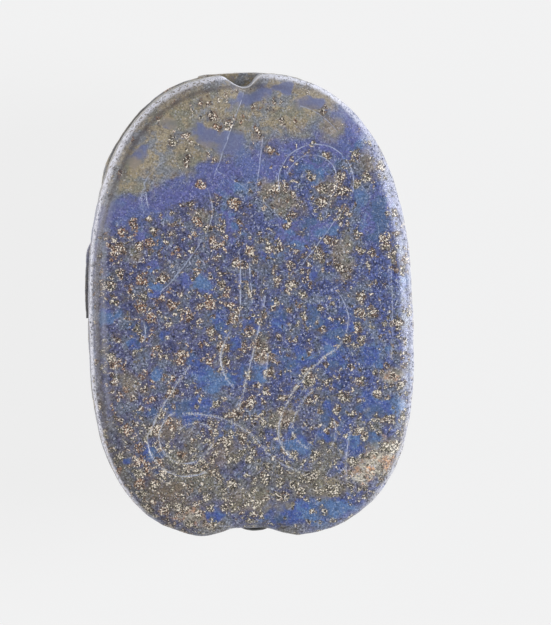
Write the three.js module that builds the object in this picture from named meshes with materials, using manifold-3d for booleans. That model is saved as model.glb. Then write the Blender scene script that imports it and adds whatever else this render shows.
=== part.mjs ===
// A scarab amulet, carved from one piece of lapis lazuli and drilled lengthwise for a string.
// The beetle sits on an oval base plate, and the underside of that plate is the seal face.
// It is modelled lying on the beetle's back, which has a small flat spot, with the seal face upwards.
// Millimetres: +Z out of the seal face, +Y towards the beetle's head, the origin on what it lies on.

import * as THREE from 'three';
import { mergeVertices } from 'three/addons/utils/BufferGeometryUtils.js';
import Module from 'manifold-3d';

const wasm = await Module();
wasm.setup();

// ---- Driving dimensions ------------------------------------------------------------------------------

const LENGTH = 24.25; // of the base plate, before the string wore its ends
const WIDTH = 17.0;
const HEIGHT = 10.2; // from the seal face to the flat spot on the back
const BAND_BOTTOM = 5.0; // depth below the seal face at which the beetle's back begins
const BODY_INSET = 0.75; // from the plate's edge in to the beetle's flank, behind the legs

const lerp = THREE.MathUtils.lerp;
const rise = (from, to, value) => THREE.MathUtils.smoothstep(value, from, to);
const bump = (reach) => (Math.abs(reach) < 1 ? Math.cos((Math.PI / 2) * reach) ** 2 : 0);

// ---- The plate's outline: two half superellipses that meet where it is widest ------------------------

const WIDEST_Y = -0.042 * LENGTH; // a little behind the middle
const HEAD_END_POWER = 2.5; // the head end is rounder than the tail end
const TAIL_END_POWER = 2.85;
const SAMPLES_PER_QUARTER = 400;

/** The right half of the outline, from the middle of the head end to the middle of the tail end. */
function halfOutline() {
  const points = [];
  let walked = 0;
  for (let i = 0; i <= 2 * SAMPLES_PER_QUARTER; i += 1) {
    const onHead = i <= SAMPLES_PER_QUARTER;
    const power = onHead ? HEAD_END_POWER : TAIL_END_POWER;
    const reach = onHead ? LENGTH / 2 - WIDEST_Y : -LENGTH / 2 - WIDEST_Y;
    const angle = (Math.PI / 2) * (i / SAMPLES_PER_QUARTER);
    const across = Math.max(0, Math.sin(angle)) ** (2 / power);
    const along = Math.abs(Math.cos(angle)) ** (2 / power);
    const [x, y] = [(WIDTH / 2) * across, WIDEST_Y + reach * along];
    if (i > 0) walked += Math.hypot(x - points[i - 1].x, y - points[i - 1].y);
    const normal = new THREE.Vector2(across ** (power - 1) / (WIDTH / 2), along ** (power - 1) / reach);
    points.push({ x, y, walked, normal: normal.normalize() });
  }
  return points;
}

const OUTLINE = halfOutline();
const HALF_GIRTH = OUTLINE.at(-1).walked;

/** The outline's point at a distance walked from the middle of the head end. */
function outlineAt(walked) {
  const after = Math.max(1, OUTLINE.findIndex((point) => point.walked >= walked - 1e-9));
  const [from, to] = [OUTLINE[after - 1], OUTLINE[after]];
  const share = THREE.MathUtils.clamp((walked - from.walked) / (to.walked - from.walked), 0, 1);
  return { x: lerp(from.x, to.x, share), y: lerp(from.y, to.y, share), normal: to.normal };
}

/** A point near the flank: side is 1 on the right and -1 on the left, and outward counts from the outline. */
function flankPoint(side, walked, depth, outward) {
  const { x, y, normal } = outlineAt(walked);
  return new THREE.Vector3(side * (x + normal.x * outward), y + normal.y * outward, HEIGHT - depth);
}

// ---- The side, as [depth, inset of the rim, share of the way in to the flank] from the seal face down 

const RIM_REACH = 0.85; // how far the rounded rim comes in over the seal face
const RIM_DROP = 0.7; // and how far it goes down the side
const PLATE_THICKNESS = 1.9;
const FILLET_DEPTH = 2.4; // where the hollow under the plate has run out into the flank
const RIM_STEPS = 4;
const FILLET_STEPS = 3;

function sideProfile() {
  const rows = [];
  for (let i = 0; i <= RIM_STEPS; i += 1) {
    const angle = (Math.PI / 2) * (i / RIM_STEPS);
    rows.push([RIM_DROP * (1 - Math.cos(angle)), RIM_REACH * (1 - Math.sin(angle)), 0]);
  }
  for (let i = 0; i <= FILLET_STEPS; i += 1) {
    const angle = (Math.PI / 2) * (i / FILLET_STEPS);
    rows.push([lerp(PLATE_THICKNESS, FILLET_DEPTH, 1 - Math.cos(angle)), 0, Math.sin(angle)]);
  }
  rows.push([BAND_BOTTOM, 0, 1]);
  return rows;
}

// The notches that the string has worn in the plate, over the two mouths of the hole.
const HEAD_NOTCH = { depth: 0.63, left: 1.4, right: 1.0 };
const TAIL_NOTCH = { depth: 0.48, left: 2.15, right: 2.15 };
const TAIL_BULGE = { depth: 0.5, reach: 1.7 }; // the tip of the wing cases, which shows in the tail notch

function sidePoint(side, walked, [depth, rimInset, share]) {
  const edge = outlineAt(walked);
  const bulge = edge.y < 0 ? TAIL_BULGE.depth * bump(edge.x / TAIL_BULGE.reach) : 0;
  const place = flankPoint(side, walked, depth, -rimInset - share * (BODY_INSET - bulge));
  const notch = edge.y > 0 ? HEAD_NOTCH : TAIL_NOTCH;
  const worn = notch.depth * bump(place.x / (place.x < 0 ? notch.left : notch.right));
  place.y -= Math.sign(edge.y) * worn * (1 - share);
  return place;
}

// ---- The beetle's back: a dome over most of the length, and a low shelf beside the head --------------

const DOME_FRONT_Y = 0.31 * LENGTH;
const FLANK_FRONT_Y = LENGTH / 2 - BODY_INSET;
const DOME_POWER = 2.4;
const DOME_FULLNESS = 0.6;
const FLAT_SPOT_WEAR = 0.12; // what the flat spot takes off the top of the dome
const SHELF_RISE = 0.9; // the shelf comes nearer to the plate towards the head end
const TAIL_RISE = 0.5;

/** Depth at which the flank ends. */
function bandBottom(y) {
  const head = SHELF_RISE * rise(0.3 * LENGTH, 0.47 * LENGTH, y);
  const tail = TAIL_RISE * rise(0.33 * LENGTH, 0.47 * LENGTH, -y);
  return BAND_BOTTOM - head - tail;
}

/** Height of the back's surface, at a radius of 0 in the middle of the dome and 1 on its foot. */
function backZ(y, radius) {
  const dome = (HEIGHT - BAND_BOTTOM + FLAT_SPOT_WEAR) * (1 - radius ** DOME_POWER) ** DOME_FULLNESS;
  return Math.max(0, HEIGHT - bandBottom(y) - dome);
}

/** The share of the flank's reach forward that the dome has. */
const DOME_SHARE = (DOME_FRONT_Y - WIDEST_Y) / (FLANK_FRONT_Y - WIDEST_Y);

/** A point of the back over a flank point: ring 2 is the flank, 1 the dome's foot and 0 its middle. */
function backPoint(flank, ring) {
  const forward = Math.max(0, flank.y - WIDEST_Y) * (1 - DOME_SHARE);
  const footY = flank.y - forward;
  if (ring > 1) {
    const y = lerp(footY, flank.y, ring - 1);
    return new THREE.Vector3(flank.x, y, backZ(y, 1));
  }
  const y = lerp(WIDEST_Y, footY, ring);
  return new THREE.Vector3(flank.x * ring, y, backZ(y, ring));
}

// ---- The carved block: a lathe shape whose circles are drawn out to the outline ----------------------

const COLUMNS_PER_HALF = 64;
const COLUMN_CROWDING = 0.4; // crowds the columns towards the two ends, where the notches are
const DOME_RINGS = 13;
const RING_CROWDING = 1.45; // crowds the rings towards the steep foot of the dome

function carvedBlock() {
  const side = sideProfile();
  const rows = side.length + 1 + DOME_RINGS;
  const profile = Array.from({ length: rows + 1 }, (_, row) => {
    const onAxis = row === 0 || row === rows;
    return new THREE.Vector2(onAxis ? 0 : 1, row);
  });
  const geometry = new THREE.LatheGeometry(profile, 2 * COLUMNS_PER_HALF);
  const corners = geometry.getAttribute('position');
  for (let i = 0; i < corners.count; i += 1) {
    const turn = Math.floor(i / (rows + 1)) / COLUMNS_PER_HALF - 1;
    const place = blockPoint(side, turn, i % (rows + 1));
    corners.setXYZ(i, place.x, place.y, place.z);
  }
  return geometry;
}

/** A corner of the block: turn runs from -1 to 1, from the tail up the left side and down the right. */
function blockPoint(side, turn, row) {
  if (row === 0) return new THREE.Vector3(0, 0, HEIGHT);
  const share = Math.abs(turn);
  const crowded = share - (COLUMN_CROWDING * Math.sin(2 * Math.PI * share)) / (2 * Math.PI);
  const level = side[Math.min(row, side.length) - 1];
  const place = sidePoint(turn < 0 ? -1 : 1, crowded * HALF_GIRTH, level);
  if (row < side.length) return place;
  if (row === side.length) return backPoint(place, 2);
  const inward = (row - side.length - 1) / DOME_RINGS;
  return backPoint(place, 1 - inward ** RING_CROWDING);
}

// ---- The legs: ridges of an oval section, folded against the flank -----------------------------------

const LEG_HALF_WIDTH = 0.6;
const LEG_TAPER = [1.1, 0.85]; // from the hip to the foot
const HIP_SINK = 0.7; // how far the hip's end sinks into the body
const HIP_SHARE = 0.3; // of the leg's length, over which it comes out of the body
const FOOT_SHARE = 0.06; // of the leg's length, over which the foot's tip is rounded
const LEG_SIDES = 8;
const LEG_STEPS = 13;

// The hip, the knee and the foot of each leg, as [distance walked from the head, depth].
const LEGS = {
  fore: [[11.3, 5.0], [8.3, 3.7], [3.9, 3.6]],
  middle: [[13.0, 5.2], [14.6, 3.75], [17.4, 3.6]],
  hind: [[18.8, 5.3], [21.8, 3.75], [31.0, 3.6]],
};

function legGeometry(joints, side) {
  const knots = joints.map(([walked, depth]) => new THREE.Vector3(walked, depth, 0));
  const path = new THREE.CatmullRomCurve3(knots);
  const geometry = new THREE.CylinderGeometry(1, 1, 1, LEG_SIDES, LEG_STEPS);
  const corners = geometry.getAttribute('position');
  for (let i = 0; i < corners.count; i += 1) {
    const share = corners.getY(i) + 0.5;
    const along = path.getPointAt(share);
    const heading = path.getTangentAt(share);
    const tip = lerp(0.75, 1, rise(0, FOOT_SHARE, 1 - share));
    const width = -side * LEG_HALF_WIDTH * lerp(...LEG_TAPER, share) * tip * corners.getX(i);
    const sunk = HIP_SINK * (1 - rise(0, HIP_SHARE, share));
    const outward = BODY_INSET * tip * corners.getZ(i) - BODY_INSET - sunk;
    const place = flankPoint(side, along.x - heading.y * width, along.y + heading.x * width, outward);
    corners.setXYZ(i, place.x, place.y, place.z);
  }
  return geometry;
}

// ---- The head: a tapering wedge with the eyes at its widest, ending in a straight front edge ---------

const HEAD_ROOT_Y = 6.6; // inside the dome
const HEAD_TIP_Y = LENGTH / 2 - 0.13;
const HEAD_HALF_WIDTHS = [3.0, 3.5, 3.0, 2.1]; // neck, eyes, cheeks and front edge
const HEAD_UNDERSIDE = 4.15; // depths below the seal face
const CROWN_DEPTH_AT_ROOT = 7.5;
const CROWN_DEPTH_AT_TIP = 4.95;
const CROWN_DEPTH_AT_SIDE = 4.3;
const FRONT_BOW = 0.25; // how far the front edge falls back at its corners

function headGeometry() {
  const widths = new THREE.SplineCurve(HEAD_HALF_WIDTHS.map((width, i) => new THREE.Vector2(i / 3, width)));
  const geometry = new THREE.BoxGeometry(2, 2, 2, 12, 8, 1);
  const corners = geometry.getAttribute('position');
  for (let i = 0; i < corners.count; i += 1) {
    const across = Math.sin((Math.PI / 2) * corners.getX(i));
    const share = (corners.getY(i) + 1) / 2;
    const crown = lerp(CROWN_DEPTH_AT_ROOT, CROWN_DEPTH_AT_TIP, share ** 1.5);
    const arch = Math.sqrt(Math.max(0, 1 - Math.abs(across) ** 3.5));
    const depth = corners.getZ(i) > 0 ? HEAD_UNDERSIDE : lerp(CROWN_DEPTH_AT_SIDE, crown, arch);
    const y = lerp(HEAD_ROOT_Y, HEAD_TIP_Y, share) - FRONT_BOW * share * across ** 2;
    corners.setXYZ(i, widths.getPoint(share).y * across, y, HEIGHT - depth);
  }
  return geometry;
}

// ---- What is cut into it: the string hole and the lines of the beetle's back -------------------------

const HOLE_DEPTH = 3.1; // of the hole's axis below the seal face
const HOLE_RADIUS = 0.75;
const MOUTH_RADIUS = 1.05;
const MOUTH_LENGTH = 1.2;
const LINE_RADIUS = 0.2; // of the round tool that the lines are cut with
const COLLAR_Y = 3.0; // the line between the prothorax and the wing cases
const COLLAR_SWEEP = 0.9;
const LINE_END_RADIUS = 0.96; // the lines stop just short of the dome's foot

function stringHole() {
  const end = LENGTH / 2 + 1;
  const mouth = LENGTH / 2 - MOUTH_LENGTH;
  const right = [[HOLE_RADIUS, mouth], [MOUTH_RADIUS, end], [0, end]];
  const left = right.map(([radius, y]) => [radius, -y]).reverse();
  const profile = [...left, ...right].map(([radius, y]) => new THREE.Vector2(radius, y));
  return new THREE.LatheGeometry(profile, 20).translate(0, 0, HEIGHT - HOLE_DEPTH);
}

/** The dome's radius at a point of the plan: 0 in the middle and 1 on its foot. */
function domeRadius(x, y) {
  const forward = y > WIDEST_Y;
  const reach = forward ? DOME_FRONT_Y - WIDEST_Y : LENGTH / 2 + WIDEST_Y - BODY_INSET;
  const power = forward ? HEAD_END_POWER : TAIL_END_POWER;
  const across = Math.abs(x) / (WIDTH / 2 - BODY_INSET);
  return Math.min(1, (across ** power + (Math.abs(y - WIDEST_Y) / reach) ** power) ** (1 / power));
}

/** A round-bottomed line cut along the back, through points of the plan. */
function carvedLine(plan) {
  const knots = plan.map(([x, y]) => new THREE.Vector3(x, y, backZ(y, domeRadius(x, y))));
  const section = new THREE.Shape().absarc(0, 0, LINE_RADIUS, 0, 2 * Math.PI);
  const extrudePath = new THREE.CatmullRomCurve3(knots);
  return new THREE.ExtrudeGeometry(section, { extrudePath, steps: 18, curveSegments: 4 });
}

function backLines() {
  const steps = 12;
  const halfWidth = LINE_END_RADIUS * (WIDTH / 2 - BODY_INSET);
  const tail = WIDEST_Y - LINE_END_RADIUS * (LENGTH / 2 + WIDEST_Y - BODY_INSET);
  const middle = [];
  const collar = [];
  for (let i = 0; i <= steps; i += 1) {
    const share = i / steps;
    const across = lerp(-1, 1, share);
    middle.push([0, lerp(COLLAR_Y, tail, share)]);
    collar.push([halfWidth * Math.sin((Math.PI / 2) * across), COLLAR_Y + COLLAR_SWEEP * across ** 2]);
  }
  return [carvedLine(middle), carvedLine(collar)];
}

// ---- Joining and cutting -----------------------------------------------------------------------------

function toSolid(geometry) {
  const bare = geometry.clone();
  bare.deleteAttribute('normal');
  bare.deleteAttribute('uv');
  const merged = mergeVertices(bare, 1e-4);
  const vertProperties = new Float32Array(merged.getAttribute('position').array);
  const triVerts = new Uint32Array(merged.index.array);
  return new wasm.Manifold(new wasm.Mesh({ numProp: 3, vertProperties, triVerts }));
}

function toGeometry(solid) {
  const { numProp, vertProperties, triVerts } = solid.getMesh();
  const geometry = new THREE.BufferGeometry();
  geometry.setAttribute('position', new THREE.BufferAttribute(vertProperties, numProp));
  geometry.setIndex(new THREE.BufferAttribute(triVerts, 1));
  geometry.computeVertexNormals();
  return geometry;
}

function scarabGeometry() {
  const raised = [headGeometry()];
  for (const joints of Object.values(LEGS)) raised.push(legGeometry(joints, 1), legGeometry(joints, -1));
  let solid = toSolid(carvedBlock());
  for (const shape of raised) solid = solid.add(toSolid(shape));
  for (const cut of [stringHole(), ...backLines()]) solid = solid.subtract(toSolid(cut));
  return toGeometry(solid);
}

// ---- The amulet --------------------------------------------------------------------------------------

const lapis = new THREE.MeshStandardMaterial({ color: 0x6c6f7f, roughness: 0.38, metalness: 0 });

const scarab = new THREE.Mesh(scarabGeometry(), lapis);
scarab.name = 'scarab';

const amulet = new THREE.Group();
amulet.add(scarab);

export default amulet;
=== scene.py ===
import math

import bpy
import numpy as np
from mathutils import Matrix, Vector


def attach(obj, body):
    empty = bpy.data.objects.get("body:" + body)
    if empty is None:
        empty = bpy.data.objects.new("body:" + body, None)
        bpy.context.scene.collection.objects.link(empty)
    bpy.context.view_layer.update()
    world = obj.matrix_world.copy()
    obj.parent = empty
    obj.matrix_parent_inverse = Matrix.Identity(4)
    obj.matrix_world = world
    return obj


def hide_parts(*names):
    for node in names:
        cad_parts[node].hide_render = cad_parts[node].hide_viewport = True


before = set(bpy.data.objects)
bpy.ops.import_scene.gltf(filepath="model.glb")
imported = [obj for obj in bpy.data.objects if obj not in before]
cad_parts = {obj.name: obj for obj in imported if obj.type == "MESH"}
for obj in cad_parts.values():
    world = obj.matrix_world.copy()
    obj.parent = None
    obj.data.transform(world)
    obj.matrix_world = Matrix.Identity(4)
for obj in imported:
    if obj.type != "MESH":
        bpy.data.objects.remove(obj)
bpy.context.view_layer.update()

# ---- The carved block ------------------------------------------------------------------------------------
# The base plate and the beetle's body are one pebble of lapis lazuli. The plate's underside is ground flat
# for the seal and its rim is worn round. Under the plate a hollow runs into the beetle's flank, and the
# domed back below has a small flat spot that the amulet lies on. The block is worked in millimetres.

MM = 0.001
LENGTH = 24.25
WIDTH = 17.0
HEIGHT = 10.2
BAND_BOTTOM = 5.0
BODY_INSET = 0.75
WIDEST_Y = -0.042 * LENGTH
HEAD_REACH = LENGTH / 2 - WIDEST_Y
TAIL_REACH = LENGTH / 2 + WIDEST_Y + 0.12
HEAD_POWER = 2.5
TAIL_POWER = 2.85
DOME_FRONT = 0.31 * LENGTH - WIDEST_Y
RIM_REACH = 1.15
RIM_DROP = 0.75
PLATE_THICKNESS = 1.9
HOLLOW_END = 2.4
NOTCH_HALF_WIDTH = {"tail": 2.8, "head left": 1.4, "head right": 1.0}
NOTCH_DEPTH = {"tail": 0.6, "head": 0.68}
TAIL_NOTCH_X = -0.4
TAIL_TIP = {"half_width": 1.7, "out": 0.5}
BAND_RISE = {"head": 0.9, "tail": 0.5}
FACE_CROWN = 0.05
COLLAR_Y = 3.0
COLLAR_BOW = 0.0163
SHOULDER_Y = 2.35
LINE_HALF_WIDTH = 0.3
LINE_DEPTH = 0.22
# Where the rim, the plate's edge and the hollow end, as shares of the way down the side's rows of points.
ROWS = {"rim": 0.34, "edge": 0.52, "hollow": 0.7}
# The dome's curve: the power it rises by, eased at the foot, then brought to 0 at the foot and 1 on top.
DOME = {"power": 0.6, "ease": 0.03, "foot": 0.122, "span": 0.896}


class Gauge:
    """A number read at every point of the stone; sums with it become Math nodes in its own tree."""

    def __init__(self, socket):
        self.socket = socket

    def __add__(self, other):
        return worked("ADD", self, other)

    def __radd__(self, other):
        return worked("ADD", other, self)

    def __sub__(self, other):
        return worked("SUBTRACT", self, other)

    def __rsub__(self, other):
        return worked("SUBTRACT", other, self)

    def __mul__(self, other):
        return worked("MULTIPLY", self, other)

    def __rmul__(self, other):
        return worked("MULTIPLY", other, self)

    def __truediv__(self, other):
        return worked("DIVIDE", self, other)

    def __rtruediv__(self, other):
        return worked("DIVIDE", other, self)

    def __pow__(self, other):
        return worked("POWER", self, other)

    def __neg__(self):
        return worked("MULTIPLY", self, -1.0)

    def __abs__(self):
        return worked("ABSOLUTE", self)


def feed(socket, value):
    """Plugs a gauge into a socket, or sets a plain value on it."""
    if isinstance(value, Gauge):
        socket.id_data.links.new(value.socket, socket)
    else:
        socket.default_value = value


def worked(operation, *values):
    """One Math node on gauges and plain numbers, in the gauges' own tree."""
    tree = next(value.socket.id_data for value in values if isinstance(value, Gauge))
    node = tree.nodes.new("ShaderNodeMath")
    node.operation = operation
    for socket, value in zip(node.inputs, values):
        feed(socket, value)
    return Gauge(node.outputs[0])


def least(one, other):
    return worked("MINIMUM", one, other)


def most(one, other):
    return worked("MAXIMUM", one, other)


def ramp(value, start, end, smooth=True):
    """0 below start and 1 above end, or the other way round where start is the larger."""
    node = value.socket.id_data.nodes.new("ShaderNodeMapRange")
    node.interpolation_type = "SMOOTHSTEP" if smooth else "LINEAR"
    feed(node.inputs["Value"], value)
    feed(node.inputs["From Min"], start)
    feed(node.inputs["From Max"], end)
    return Gauge(node.outputs["Result"])


def between(share, start, end):
    """start where share is 0 and end where it is 1."""
    return start + (end - start) * share


def swell(value, reach):
    """1 in the middle, falling smoothly to 0 at the reach on both sides."""
    return worked("COSINE", least(abs(value) / reach, 1.0) * (math.pi / 2)) ** 2.0


def parts_of(vector):
    """The x, y and z of a vector, each as a gauge."""
    node = vector.id_data.nodes.new("ShaderNodeSeparateXYZ")
    vector.id_data.links.new(vector, node.inputs[0])
    return [Gauge(output) for output in node.outputs]


def point_of(x, y, z):
    tree = next(value.socket.id_data for value in (x, y, z) if isinstance(value, Gauge))
    node = tree.nodes.new("ShaderNodeCombineXYZ")
    for socket, value in zip(node.inputs, (x, y, z)):
        feed(socket, value)
    return Gauge(node.outputs[0])


def new_tree(name, **inputs):
    """A geometry tree with a stone material input, its named size inputs and one geometry output."""
    tree = bpy.data.node_groups.new(name, "GeometryNodeTree")
    tree.interface.new_socket("Geometry", in_out="OUTPUT", socket_type="NodeSocketGeometry")
    tree.interface.new_socket("Geometry", in_out="INPUT", socket_type="NodeSocketGeometry")
    for label, value in inputs.items():
        kind = "NodeSocketInt" if isinstance(value, int) else "NodeSocketFloat"
        if isinstance(value, bpy.types.Object):
            kind = "NodeSocketObject"
        socket = tree.interface.new_socket(label, in_out="INPUT", socket_type=kind)
        if kind != "NodeSocketObject":
            socket.default_value = value
    tree.interface.new_socket("Stone", in_out="INPUT", socket_type="NodeSocketMaterial")
    given = tree.nodes.new("NodeGroupInput")
    return tree, given


def step(tree, kind, source=None, **settings):
    """Adds a node, with its settings, and feeds its first socket from source."""
    node = tree.nodes.new(kind)
    for label, value in settings.items():
        setattr(node, label, value)
    if source is not None:
        tree.links.new(source, node.inputs[0])
    return node


def close_tree(tree, given, geometry):
    """Ends a tree with one smooth-shaded mesh in the stone's material."""
    realized = step(tree, "GeometryNodeRealizeInstances", geometry)
    smooth = step(tree, "GeometryNodeSetShadeSmooth", realized.outputs[0])
    stone = step(tree, "GeometryNodeSetMaterial", smooth.outputs[0])
    tree.links.new(given.outputs["Stone"], stone.inputs["Material"])
    out = tree.nodes.new("NodeGroupOutput")
    tree.links.new(stone.outputs[0], out.inputs[0])


def carve(name, tree, blank=None, **inputs):
    """Runs a tree on a blank mesh and gives the result as a plain mesh object."""
    piece = bpy.data.objects.new(name, blank or bpy.data.meshes.new(name))
    bpy.context.scene.collection.objects.link(piece)
    modifier = piece.modifiers.new(name, "NODES")
    modifier.node_group = tree
    inputs["Stone"] = lapis
    for socket in tree.interface.items_tree:
        if socket.item_type == "SOCKET" and socket.in_out == "INPUT" and socket.name in inputs:
            modifier[socket.identifier] = inputs[socket.name]
    ready = piece.evaluated_get(bpy.context.evaluated_depsgraph_get())
    mesh = bpy.data.meshes.new_from_object(ready)
    piece.modifiers.clear()
    piece.data = mesh
    return piece


def rough_cube(tree, given, *rows):
    """A cube from -1 to 1 with its rows of points from the tree's inputs, and the gauges of its points."""
    cube = step(tree, "GeometryNodeMeshCube")
    cube.inputs["Size"].default_value = (2.0, 2.0, 2.0)
    for label, axis in zip(rows, "XYZ"):
        tree.links.new(given.outputs[label], cube.inputs["Vertices " + axis])
    place = step(tree, "GeometryNodeInputPosition")
    return cube.outputs[0], parts_of(place.outputs[0])


lapis = bpy.data.materials.new("lapis lazuli")

block_tree, given = new_tree("carved block", Across=140, Along=200, Down=34)
cube, (u, v, w) = rough_cube(block_tree, given, "Across", "Along", "Down")

# The plan: square rings drawn out to two half superellipses that meet where the plate is widest.
ring = most(most(abs(u), abs(v)), 0.0001)
headward = worked("GREATER_THAN", v, 0.0)
power = between(headward, TAIL_POWER, HEAD_POWER)
reach = between(headward, TAIL_REACH, HEAD_REACH)
across = u / ring
along = v / ring
size = (abs(across) ** power + abs(along) ** power) ** (-1.0 / power)
edge_x = across * size * (WIDTH / 2)
edge_y = along * size * reach
lean_x = worked("SIGN", u) * (abs(across) * size) ** (power - 1.0) / (WIDTH / 2)
lean_y = worked("SIGN", v) * (abs(along) * size) ** (power - 1.0) / reach
lean = (lean_x * lean_x + lean_y * lean_y) ** 0.5

# The side, from the seal face down: worn rim, plate edge, hollow, flank.
down = (1.0 - w) / 2.0
rim = ramp(down, 0.0, ROWS["rim"], smooth=False) * (math.pi / 2)
plate = ramp(down, ROWS["rim"], ROWS["edge"], smooth=False)
hollow = ramp(down, ROWS["edge"], ROWS["hollow"], smooth=False) * (math.pi / 2)
flank = ramp(down, ROWS["hollow"], 1.0, smooth=False)
under = worked("SINE", hollow)
tail_tip = (1.0 - headward) * swell(edge_x, TAIL_TIP["half_width"]) * TAIL_TIP["out"]
inset = RIM_REACH * (1.0 - worked("SINE", rim)) + under * (BODY_INSET - tail_tip)
side_x = edge_x - inset * lean_x / lean
side_y = edge_y - inset * lean_y / lean
to_right = worked("GREATER_THAN", side_x, 0.0)
notch_width = between(to_right, NOTCH_HALF_WIDTH["head left"], NOTCH_HALF_WIDTH["head right"])
notch_width = between(headward, NOTCH_HALF_WIDTH["tail"], notch_width)
notch_x = abs(side_x - (1.0 - headward) * TAIL_NOTCH_X)
notch = ramp(notch_x / notch_width, 1.0, between(headward, 0.15, 0.06))
notch = notch * between(headward, NOTCH_DEPTH["tail"], NOTCH_DEPTH["head"]) * (1.0 - under)
side_y = side_y - worked("SIGN", v) * notch
plan_x = side_x * ring
plan_y = side_y * ring + WIDEST_Y
band = BAND_BOTTOM - ramp(plan_y, 0.3 * LENGTH, 0.47 * LENGTH) * BAND_RISE["head"]
band = band - ramp(-plan_y, 0.33 * LENGTH, 0.47 * LENGTH) * BAND_RISE["tail"]
depth = RIM_DROP * (1.0 - worked("COSINE", rim)) + plate * (PLATE_THICKNESS - RIM_DROP)
depth = depth + (HOLLOW_END - PLATE_THICKNESS) * (1.0 - worked("COSINE", hollow))
depth = depth + (band - HOLLOW_END) * flank
crown = ramp(ring, 0.72, 1.0) * FACE_CROWN

# The back: a dome over the wing cases and the collar, with two carved lines, and a flat shelf by the head.
foot_x = abs(side_x) / (WIDTH / 2 - BODY_INSET)
foot_near = (foot_x ** power + (abs(side_y) / DOME_FRONT) ** power) ** (1.0 / power)
foot_far = (foot_x ** power + (abs(side_y) / (HEAD_REACH - BODY_INSET)) ** power) ** (1.0 / power)
dome_ring = ring * between(headward, 1.0, foot_near / foot_far)
fall = most(1.0 - dome_ring ** 2.4, 0.0)
dome = ((fall + DOME["ease"]) ** DOME["power"] - DOME["foot"]) / DOME["span"]
bow = plan_x * plan_x * COLLAR_BOW
middle_line = swell(plan_x, LINE_HALF_WIDTH) * ramp(plan_y, COLLAR_Y + 0.1, COLLAR_Y - 0.1)
collar_line = swell(plan_y - COLLAR_Y - bow, LINE_HALF_WIDTH)
shoulder = swell(plan_y - SHOULDER_Y - bow, 0.22) * ramp(abs(plan_x), 4.6, 5.2) * 0.6
lines = most(most(middle_line, collar_line), shoulder) * ramp(dome_ring, 0.99, 0.9) * LINE_DEPTH
back_z = most(HEIGHT - band - dome * (HEIGHT - BAND_BOTTOM + 0.12), 0.0) + lines
on_back = worked("LESS_THAN", w, -0.9999)
flank_z = HEIGHT - depth - crown * worked("GREATER_THAN", w, 0.9999) - 0.05 * worked("LESS_THAN", w, 0.9999)
block_z = between(on_back, flank_z, back_z)

# The foot of the dome's front is eased into the shelf, as a rubbed edge is.
eased = step(block_tree, "GeometryNodeBlurAttribute", block_z.socket, data_type="FLOAT")
eased.inputs["Iterations"].default_value = 5
feed(eased.inputs["Weight"], on_back * headward * ramp(dome_ring, 0.9, 0.96))
block_z = Gauge(eased.outputs[0])
shape = step(block_tree, "GeometryNodeSetPosition", cube)
feed(shape.inputs["Position"], point_of(plan_x * MM, plan_y * MM, block_z * MM))
close_tree(block_tree, given, shape.outputs[0])
block = carve("block", block_tree)

# ---- The legs --------------------------------------------------------------------------------------------
# Three legs a side are left standing on the flank, folded under the plate. Each goes from its hip to the
# knee and then along to the foot, an oval ridge that is ribbed with small cuts on the shin.

LEG_OUT = 0.72
LEG_WIDE = 0.6
HIP_GIRTH = 1.1
GIRTH_LOST = 0.25
LEG_STEPS = 70
KNEE_AT = 0.4
KNEE_BEND = 0.12
HIP_ROUND = 0.12
TOE_FROM = 0.93
RIBS_FROM = 0.45
RIB_HEIGHT = 0.035
RIB_TURN = 75
# Hip, knee and foot: how far from the head along the plate's edge, and how far below the seal face. The
# other places on a leg are shares of the way from hip to foot.
LEGS = {
    "fore": [(11.3, 5.0), (8.3, 3.7), (1.7, 3.6)],
    "middle": [(13.0, 5.2), (14.6, 3.75), (17.4, 3.6)],
    "hind": [(18.8, 5.3), (21.8, 3.75), (31.0, 3.6)],
}
LEG_SET_IN = {"fore": 0.04, "middle": 0.0, "hind": 0.3}
HIP_SUNK = 0.7


def plate_edge():
    """The right half of the plate's outline, with how far each point is from the head along it."""
    turn = np.linspace(0, np.pi / 2, 401)
    halves = []
    for power, reach, lap in ((HEAD_POWER, HEAD_REACH, turn), (TAIL_POWER, -TAIL_REACH, turn[::-1][1:])):
        x = np.sin(lap) ** (2 / power)
        y = np.maximum(np.cos(lap), 0) ** (2 / power)
        lean = np.stack([x ** (power - 1) / (WIDTH / 2), y ** (power - 1) / reach])
        lean = lean / np.hypot(*lean)
        halves.append(np.stack([x * WIDTH / 2, WIDEST_Y + y * reach, *lean]))
    edge = np.concatenate(halves, axis=1)
    steps = np.hypot(*np.diff(edge[:2]))
    return np.concatenate([[0], np.cumsum(steps)]), edge


EDGE_WALK, EDGE = plate_edge()


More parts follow.
